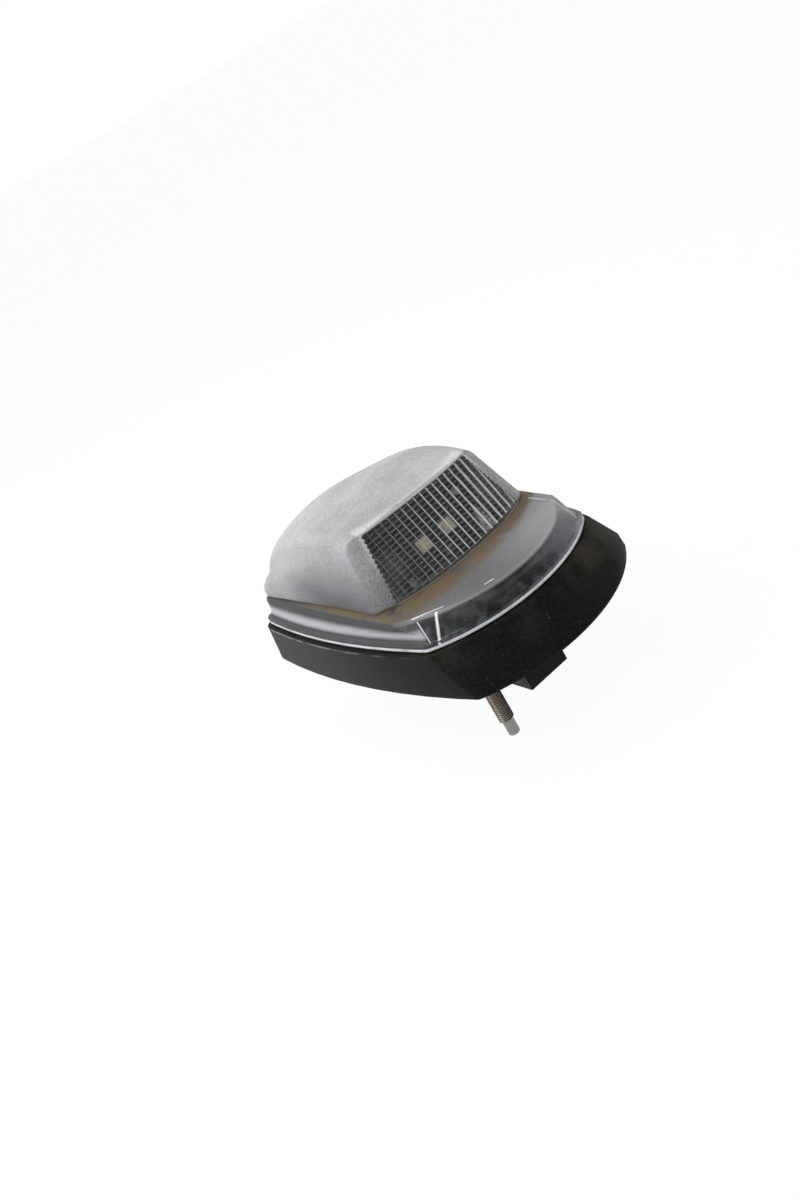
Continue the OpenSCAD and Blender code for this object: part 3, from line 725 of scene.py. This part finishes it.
def lens_finish():
    f = Finish("clear_and_frosted_lens", IOR=1.5, Specular_IOR_Level=0.28)
    window, frame_band, inner = window_zones(f)
    front = clear_front(f)
    clear = f.most(window, front)
    upright, level = flute_line_highlights(f)
    masks = {"window": window, "frame": frame_band, "front": front}
    masks["rust"] = rust_dust(f, clear)
    masks["line"] = f.times(window, inner, f.most(upright, f.times(level, 0.22)))
    masks["shine"] = f.times(corner_highlights(f), f.rest(window))
    grain = f.noise(1.4, 2.0, 0.65)
    low = f.step(f.axis(on_rim, 2), LEDGE_H + 1.0 * MM, LEDGE_H - 0.1 * MM)
    see, rough = lens_clearness(f, masks)
    lamp_ray = f.add("ShaderNodeLightPath").outputs["Is Shadow Ray"]
    absent = f.times(lamp_ray, f.mix(clear, LIT_THROUGH_FROST, LIT_THROUGH_CLEAR))
    return f.finish(
        Base_Color=lens_colour(f, masks, grain, low),
        Roughness=rough,
        Transmission_Weight=see,
        Alpha=f.rest(absent),
        Normal=lens_relief(f, f.rest(clear), low, grain, f.times(window, inner)),
    )


lens_material = lens_finish()
wear("lens_cover", lens_material)
print("lens finish has", len(lens_material.node_tree.nodes), "nodes")

# %% [markdown]
# The base is black moulded plastic with a fine texture. Outdoors it has taken on a thin film
# of dust that is greenish and brown, mostly under the lens rim and on the front. The film
# is where two masks meet: high up and ahead on the base, and broken up by a slow noise.

# %% Dust on the base
BASE_FILM = (0.040, 0.042, 0.030, 1)
BASE_BROWN = (0.048, 0.040, 0.026, 1)
BASE_DOTS = (0.085, 0.068, 0.042, 1)
DUST_FOOT = -16 * MM
DUST_TOP = -1 * MM


def base_dust(f, body, patch, place):
    """Lays the dust over a colour, and returns it with the mask of the film."""
    high = f.step(f.axis(on_rim, 2), DUST_FOOT, DUST_TOP)
    ahead = f.step(place["Y"], -10 * MM, -50 * MM)
    film = f.times(high, ahead, f.step(patch, 0.42, 0.72))
    body = f.blend(f.times(film, 0.55), body, BASE_FILM)
    right = f.times(f.step(place["X"], 0.0, 40 * MM), f.step(patch, 0.36, 0.62))
    body = f.blend(f.times(right, high, ahead, 0.8), body, BASE_BROWN)
    dots = f.step(f.noise(0.65, 2.0, 0.5), 0.69, 0.78)
    return f.blend(f.times(dots, ahead, 0.56), body, BASE_DOTS), film


print("dust on the uppermost", round((DUST_TOP - DUST_FOOT) * 1000), "mm of the base")

# %% [markdown]
# Under the dust, the grain runs between two blacks. The left flank is painted a little paler,
# as a painted sheen, and a painted highlight line shows in the groove under the rim there.
# Crisp edges are rounded a little.

# %% Base finish
GRAIN_DARK = (0.002, 0.0022, 0.0024, 1)
GRAIN_LIGHT = (0.015, 0.0152, 0.0155, 1)
BASE_FLANK_SHEEN = (0.036, 0.036, 0.037, 1)
GROOVE_DEPTH = 1.5 * MM


def base_finish():
    f = Finish("black_textured_base", Specular_IOR_Level=0.04)
    place = f.xyz(f.place)
    grain = f.noise(2.6, 2.0, 0.6)
    patch = f.noise(0.07, 4.0, 0.6)
    body = f.blend(f.step(grain, 0.35, 0.65), GRAIN_DARK, GRAIN_LIGHT)
    # Painted sheen: the left flank is paler.
    flank = f.step(f.facing()["X"], -0.75, -0.98)
    flank = f.times(flank, f.step(place["Y"], -45 * MM, 45 * MM))
    body = f.blend(flank, body, BASE_FLANK_SHEEN)
    # Painted highlight: a pale line in the groove under the rim, on the left flank.
    groove = f.step(f.off(f.axis(on_rim, 2), -GROOVE_DEPTH), 0.45 * MM, 0.15 * MM)
    groove = f.times(groove, flank, f.step(patch, 0.40, 0.55))
    body, film = base_dust(f, f.blend(groove, body, grey(0.22)), patch, place)
    rough = f.math("ADD", f.times(grain, 0.16), 0.42)
    rough = f.math("ADD", rough, f.times(film, 0.2))
    normal = f.bump(grain, 0.08, 0.4, f.rounded(0.6))
    return f.finish(Base_Color=body, Roughness=rough, Normal=normal)


base_material = base_finish()
wear("base_housing", base_material)
print("base finish has", len(base_material.node_tree.nodes), "nodes")

# %% [markdown]
# The other pieces are plain trade materials: rubber, foam, zinc-plated and brass-plated
# metal, circuit board and moulded plastic. Each has its own grain, colour variation and
# gloss. One function makes them all from two colours, a grain size and a roughness.

# %% A helper for plain finishes
GLOSS_METAL = 0.5
GLOSS_PLASTIC = 0.1


def plain_finish(name, dark, light, per_mm, rough, bump_mm=0.02, metallic=0.0):
    gloss = GLOSS_METAL if metallic else GLOSS_PLASTIC
    f = Finish(name, Metallic=metallic, Specular_IOR_Level=gloss)
    grain = f.noise(per_mm, 3.0, 0.6)
    spot = f.noise(per_mm / 9, 3.0, 0.6)
    tone = f.math("ADD", f.times(grain, 0.6), f.times(spot, 0.4))
    body = f.blend(f.step(tone, 0.3, 0.7), dark, light)
    shine = f.math("ADD", f.times(tone, 0.25), rough - 0.12)
    return f.finish(Base_Color=body, Roughness=shine, Normal=f.bump(grain, bump_mm, 0.6))


rubber = plain_finish("seal_rubber", grey(0.010), grey(0.022), 1.6, 0.7)
foam = plain_finish("gasket_foam", grey(0.016), grey(0.045), 1.1, 0.92, 0.12)
print("seals:", rubber.name, "and", foam.name)

# %% [markdown]
# Inside the lens are the black shroud, the circuit board and what is soldered or screwed to
# it. Little of it shows through the window, so plain finishes will do.

# %% Finishes inside the lens
BOARD_DARK, BOARD_LIGHT = (0.004, 0.008, 0.006, 1), (0.008, 0.014, 0.011, 1)
TAN_DARK, TAN_LIGHT = (0.10, 0.06, 0.03, 1), (0.16, 0.10, 0.05, 1)
RED_DARK, RED_LIGHT = (0.30, 0.012, 0.010, 1), (0.42, 0.02, 0.016, 1)

shroud = plain_finish("shroud_plastic", grey(0.006), grey(0.012), 2.0, 0.5)
board = plain_finish("circuit_board", BOARD_DARK, BOARD_LIGHT, 0.9, 0.4)
chip = plain_finish("chip_black", grey(0.010), grey(0.020), 3.0, 0.45)
capacitor = plain_finish("capacitor_tan", TAN_DARK, TAN_LIGHT, 3.0, 0.4)
screw_steel = plain_finish("screw_steel", grey(0.42), grey(0.58), 2.0, 0.38, 0.01, 1.0)
red_lead = plain_finish("red_insulation", RED_DARK, RED_LIGHT, 1.0, 0.45)
black_lead = plain_finish("black_insulation", grey(0.010), grey(0.020), 1.0, 0.45)
inside = (shroud, board, chip, capacitor, screw_steel, red_lead, black_lead)
print("finishes inside the lens:", len(inside))

# %% [markdown]
# The socket is moulded in black plastic, with brass blades, a small lock on its left side and
# a reddish rubber seal. The vent is a plug of grey plastic.

# %% Finishes of the socket and the vent
BRASS_DARK, BRASS_LIGHT = (0.55, 0.40, 0.16, 1), (0.72, 0.55, 0.26, 1)
SEAL_DARK, SEAL_LIGHT = (0.030, 0.014, 0.010, 1), (0.05, 0.026, 0.02, 1)

socket_plastic = plain_finish("socket_plastic", grey(0.004), grey(0.009), 2.4, 0.42, 0.03)
lock_plastic = plain_finish("lock_plastic", grey(0.020), grey(0.034), 2.4, 0.46, 0.03)
brass = plain_finish("terminal_brass", BRASS_DARK, BRASS_LIGHT, 2.0, 0.34, 0.01, 1.0)
socket_rubber = plain_finish("socket_rubber", SEAL_DARK, SEAL_LIGHT, 1.6, 0.7)
vent_plastic = plain_finish("vent_plastic", grey(0.035), grey(0.055), 2.4, 0.5, 0.03)
below = (socket_plastic, lock_plastic, brass, socket_rubber, vent_plastic)
print("finishes of the socket and the vent:", len(below))

# %% [markdown]
# A table says which piece wears which finish. It is easier to check than twenty calls.

# %% Which piece wears what
PLAIN_PIECES = {
    "lens_seal": rubber,
    "roof_gasket": foam,
    "board_carrier": shroud,
    "led_board": board,
    "left_resistor": chip,
    "right_resistor": chip,
    "polarity_diode": chip,
    "surge_diode": chip,
    "filter_capacitor": capacitor,
    "board_screws": screw_steel,
    "carrier_screws": screw_steel,
    "power_lead": red_lead,
    "ground_lead": black_lead,
    "socket_shell": socket_plastic,
    "socket_seal": socket_rubber,
    "power_terminal": brass,
    "ground_terminal": brass,
    "socket_lock": lock_plastic,
    "vent_plug": vent_plastic,
}
for name, material in PLAIN_PIECES.items():
    wear(name, material)
print("pieces with a plain finish:", len(PLAIN_PIECES))

# %% [markdown]
# A light emitter is a white ceramic package with a pool of pale yellow phosphor in clear
# resin. The pool is told from the package by its distance from the emitter's middle, which
# is the middle of the solid's box.

# %% Light emitters
CASE_DARK, CASE_LIGHT = (0.66, 0.64, 0.55, 1), (0.78, 0.76, 0.66, 1)
PHOSPHOR = (0.80, 0.74, 0.42, 1)
POOL_R = 2.1 * MM


def emitter_finish(name, middle):
    f = Finish("emitter_" + name, Roughness=0.3)
    away = f.vector("DISTANCE", f.place, middle)
    pool = f.step(away, POOL_R + 0.2 * MM, POOL_R - 0.2 * MM)
    grain = f.noise(3.0)
    body = f.blend(pool, f.blend(grain, CASE_DARK, CASE_LIGHT), PHOSPHOR)
    return f.finish(Base_Color=body, Normal=f.bump(grain, 0.02, 0.4))


for name in ("left_emitter", "right_emitter"):
    low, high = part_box(name)
    wear(name, emitter_finish(name, (low + high) / 2))
    print(name, "is", round((high - low).x * 1000, 1), "mm wide")

# %% [markdown]
# Each stud is a zinc-plated steel screw. A real thread is a helix: the radius at a point
# depends on how far along the screw it is and on the angle round it. This rule gives a ridge
# with flat flanks, a slightly flat crest and a flat root.

# %% The rule of a thread
STUD_R = 3 * MM
PITCH = 1 * MM
THREAD_DEPTH = 0.55 * MM


def thread_radius(z, turn):
    along = (z / PITCH - turn) % 1.0
    ridge = 1 - abs(2 * along - 1)
    ridge = min(1.0, max(0.0, 1.35 * ridge - 0.12))
    return STUD_R - THREAD_DEPTH * (1 - ridge)


print("thread from", round(thread_radius(0, 0) * 2000, 2), "mm to", STUD_R * 2000, "mm wide")

# %% [markdown]
# The whole stud is one grid of points, ring over ring, whose radius follows the plain point,
# the thread, the neck and the hexagonal head in turn. A plain cylinder would need a texture
# for the thread and would show a smooth outline. Each ring has a height and a rule for its
# radius.

# %% Rings of the stud
THREAD_LOW = -25 * MM
STUD_LOW = -32 * MM
POINT_R = 2.25 * MM
NECK_R = 3.4 * MM
HEAD_R = 5.8 * MM
HEAD_Z = (8 * MM, 12 * MM)
RINGS_PER_TURN = 10


def even(radius):
    return lambda z, turn: radius


def hexagon(z, turn):
    angle = (turn * 6) % 1.0 / 6 * 2 * math.pi
    return HEAD_R * math.cos(math.pi / 6) / math.cos(angle - math.pi / 6)


rings = [
    (STUD_LOW, even(POINT_R - 0.6 * MM)),
    (STUD_LOW + 0.2 * MM, even(POINT_R - 0.25 * MM)),
    (STUD_LOW + 0.6 * MM, even(POINT_R)),
    (THREAD_LOW - 1.2 * MM, even(POINT_R)),
    (THREAD_LOW - 0.9 * MM, even(POINT_R + 0.06 * MM)),
]
steps = int(round(-THREAD_LOW / PITCH * RINGS_PER_TURN))
rings += [(THREAD_LOW * (1 - i / steps), thread_radius) for i in range(steps + 1)]
rings += [(0.02 * MM, even(NECK_R)), (HEAD_Z[0], even(NECK_R))]
rings += [(HEAD_Z[0] + 0.01 * MM, hexagon), (HEAD_Z[1] - 0.01 * MM, hexagon)]
rings += [(HEAD_Z[1], lambda z, turn: 0.97 * hexagon(z, turn))]
print("rings on a stud:", len(rings))

# %% [markdown]
# The grid is closed by a point at each end, with a fan of triangles. Between two rings, each
# pair of neighbours makes a face with four corners, in the order that faces it outwards.

# %% Mesh of a stud
AROUND = 48


def stud_mesh(name, x, y):
    points = [(x, y, rings[0][0])]
    for z, radius in rings:
        for k in range(AROUND):
            r, angle = radius(z, k / AROUND), k / AROUND * 2 * math.pi
            points.append((x + r * math.cos(angle), y + r * math.sin(angle), z))
    points.append((x, y, rings[-1][0]))
    last = len(points) - 1
    faces = []
    for k in range(AROUND):
        after = (k + 1) % AROUND
        faces.append((0, 1 + after, 1 + k))
        faces.append((last, last - AROUND + k, last - AROUND + after))
        for a in range(1, 1 + (len(rings) - 1) * AROUND, AROUND):
            faces.append((a + k, a + after, a + AROUND + after, a + AROUND + k))
    mesh = bpy.data.meshes.new(name)
    mesh.from_pydata(points, [], faces)
    return mesh


print("faces round a stud:", AROUND)

# %% [markdown]
# Zinc goes dull and brown with age. It has done so on the thread, while the plain point below
# it is still brighter and cooler in colour.

# %% Finish of the studs
ZINC_DARK, ZINC_LIGHT = (0.20, 0.19, 0.19, 1), (0.34, 0.33, 0.33, 1)
BROWN_DARK, BROWN_LIGHT = (0.20, 0.17, 0.14, 1), (0.36, 0.33, 0.29, 1)


def stud_finish():
    f = Finish("zinc_stud", Metallic=1.0)
    grain = f.noise(1.4, 4.0, 0.7)
    spot = f.noise(0.35, 3.0, 0.6)
    dull = f.step(f.xyz(f.place)["Z"], THREAD_LOW - 0.6 * MM, THREAD_LOW + 0.6 * MM)
    bright = f.blend(grain, ZINC_DARK, ZINC_LIGHT)
    body = f.blend(dull, bright, f.blend(spot, BROWN_DARK, BROWN_LIGHT))
    rough = f.math("ADD", f.times(grain, 0.25), 0.30)
    return f.finish(Base_Color=body, Roughness=rough, Normal=f.bump(grain, 0.03, 0.5))


zinc = stud_finish()
print("finish of the studs:", zinc.name)

# %% [markdown]
# The two threaded studs take the places of the plain pins of the CAD model. They ride on the
# lamp's only body.

# %% Threaded studs
STUDS_MM = {"front_stud": (-23, -31.6), "rear_stud": (23, 48)}

for node_name, (x, y) in STUDS_MM.items():
    mesh = stud_mesh(node_name + "_threaded", x * MM, y * MM)
    mesh.materials.append(zinc)
    stud = bpy.data.objects.new(mesh.name, mesh)
    bpy.context.scene.collection.objects.link(stud)
    stud.modifiers.new("soft_faces", "NODES").node_group = smooth_to_30
    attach(stud, "root")
    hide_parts(node_name)
    print(stud.name, "has", len(mesh.polygons), "faces")

# %% [markdown]
# The studio is a pale floor just below the studs. It is white to the camera, to reflections
# and through clear plastic, as the photograph's background is, and a small share of its own
# colour stays in it, so that the lamp's shadow still shows. The world around it is to look
# the same, so the rays that see white are told from the others once, for both.

# %% Rays that see white
WHITE_RAYS = ("Is Camera Ray", "Is Glossy Ray", "Is Transmission Ray")


def seen_directly(n):
    """1 for a ray from the camera, a reflection or a view through clear plastic."""
    path = n.add("ShaderNodeLightPath").outputs
    return n.most(*(path[name] for name in WHITE_RAYS))


print("these rays see a white background:", WHITE_RAYS)

# %% [markdown]
# The floor is one large face, far wider than the picture. Its finish mixes a plain pale
# surface with a white glow.

# %% Floor
FLOOR_Z = -32.2 * MM
REACH = 6.0
GLOW_SHARE = 0.96

corners = [(-REACH, -REACH), (REACH, -REACH), (REACH, REACH), (-REACH, REACH)]
floor_mesh = bpy.data.meshes.new("studio_floor")
floor_mesh.from_pydata([(x, y, FLOOR_Z) for x, y in corners], [], [(0, 1, 2, 3)])
floor = bpy.data.objects.new("studio_floor", floor_mesh)
bpy.context.scene.collection.objects.link(floor)

f = Finish("pale_floor", Base_Color=grey(0.86), Roughness=0.7)
glow = f.add("ShaderNodeEmission", Color=grey(1.0), Strength=1.0)
mixed = f.add("ShaderNodeMixShader")
share = f.times(seen_directly(f), GLOW_SHARE)
f.put(mixed, {0: share, 1: f.surface.outputs[0], 2: glow.outputs[0]})
f.put(f.tree.nodes["Material Output"], {"Surface": mixed.outputs[0]})
floor_mesh.materials.append(f.material)

# %% [markdown]
# The world lights the lamp gently from all round, at a level where colours render as they are
# written. A clear lens in an all-white room looks like grey haze, because both of its skins
# mirror the white. A photographer sets up a dark card there, which the plastic mirrors
# instead. Here too: a patch of the world, ahead of the lamp, to its right and above it, is
# dark for reflections only.

# %% World
WORLD_LIGHT = 0.30
DARK_CARD = Vector((0.39, -0.77, 0.52))
CARD_EDGE, CARD_MIDDLE = 0.62, 0.86
CARD_SHARE = 0.85
CARD_LIGHT = 0.05

world = bpy.data.worlds.new("studio_world")
bpy.context.scene.world = world
world.use_nodes = True
n = Blends(world.node_tree)
white = n.mix(seen_directly(n), WORLD_LIGHT, 1.0)
sky = n.add("ShaderNodeTexCoord").outputs["Generated"]
card = n.add("ShaderNodeMapRange", Value=n.vector("DOT_PRODUCT", sky, DARK_CARD))
n.put(card, {"From Min": CARD_EDGE, "From Max": CARD_MIDDLE, "To Max": CARD_SHARE})
mirrored = n.add("ShaderNodeLightPath").outputs["Is Glossy Ray"]
light = n.mix(n.times(card.outputs[0], mirrored), white, CARD_LIGHT)
n.put(world.node_tree.nodes["Background"], {"Color": grey(1.0), "Strength": light})
card_level = CARD_SHARE * CARD_LIGHT + (1 - CARD_SHARE)
print("world light", WORLD_LIGHT, "and the mirrored card", round(card_level, 2), "of white")

# %% [markdown]
# Four square panels light the lamp: a large one overhead, slightly behind, for the pale dome;
# one on the left for the side wall; a weak one in front, which is left out of reflections for
# the same reason as the white room; and a small one above for crisp glints on the edges.

# %% Lamps
def panel(name, at, size, power):
    light = bpy.data.lights.new(name, "AREA")
    light.shape = "SQUARE"
    light.size = size
    light.energy = power
    lamp = bpy.data.objects.new(name, light)
    bpy.context.scene.collection.objects.link(lamp)
    lamp.location = at
    lamp.rotation_euler = (Vector(at) - AIM).to_track_quat("Z", "Y").to_euler()
    return lamp


panel("overhead_panel", (-0.25, 0.45, 0.85), 0.7, 9.0)
panel("left_panel", (-0.9, 0.35, 0.30), 0.5, 4.0)
panel("front_panel", (0.15, -0.9, 0.5), 0.4, 2.6).visible_glossy = False
panel("edge_panel", (0.30, -0.35, 0.90), 0.10, 0.5)
bpy.context.scene.view_settings.view_transform = "Standard"

# %% [markdown]
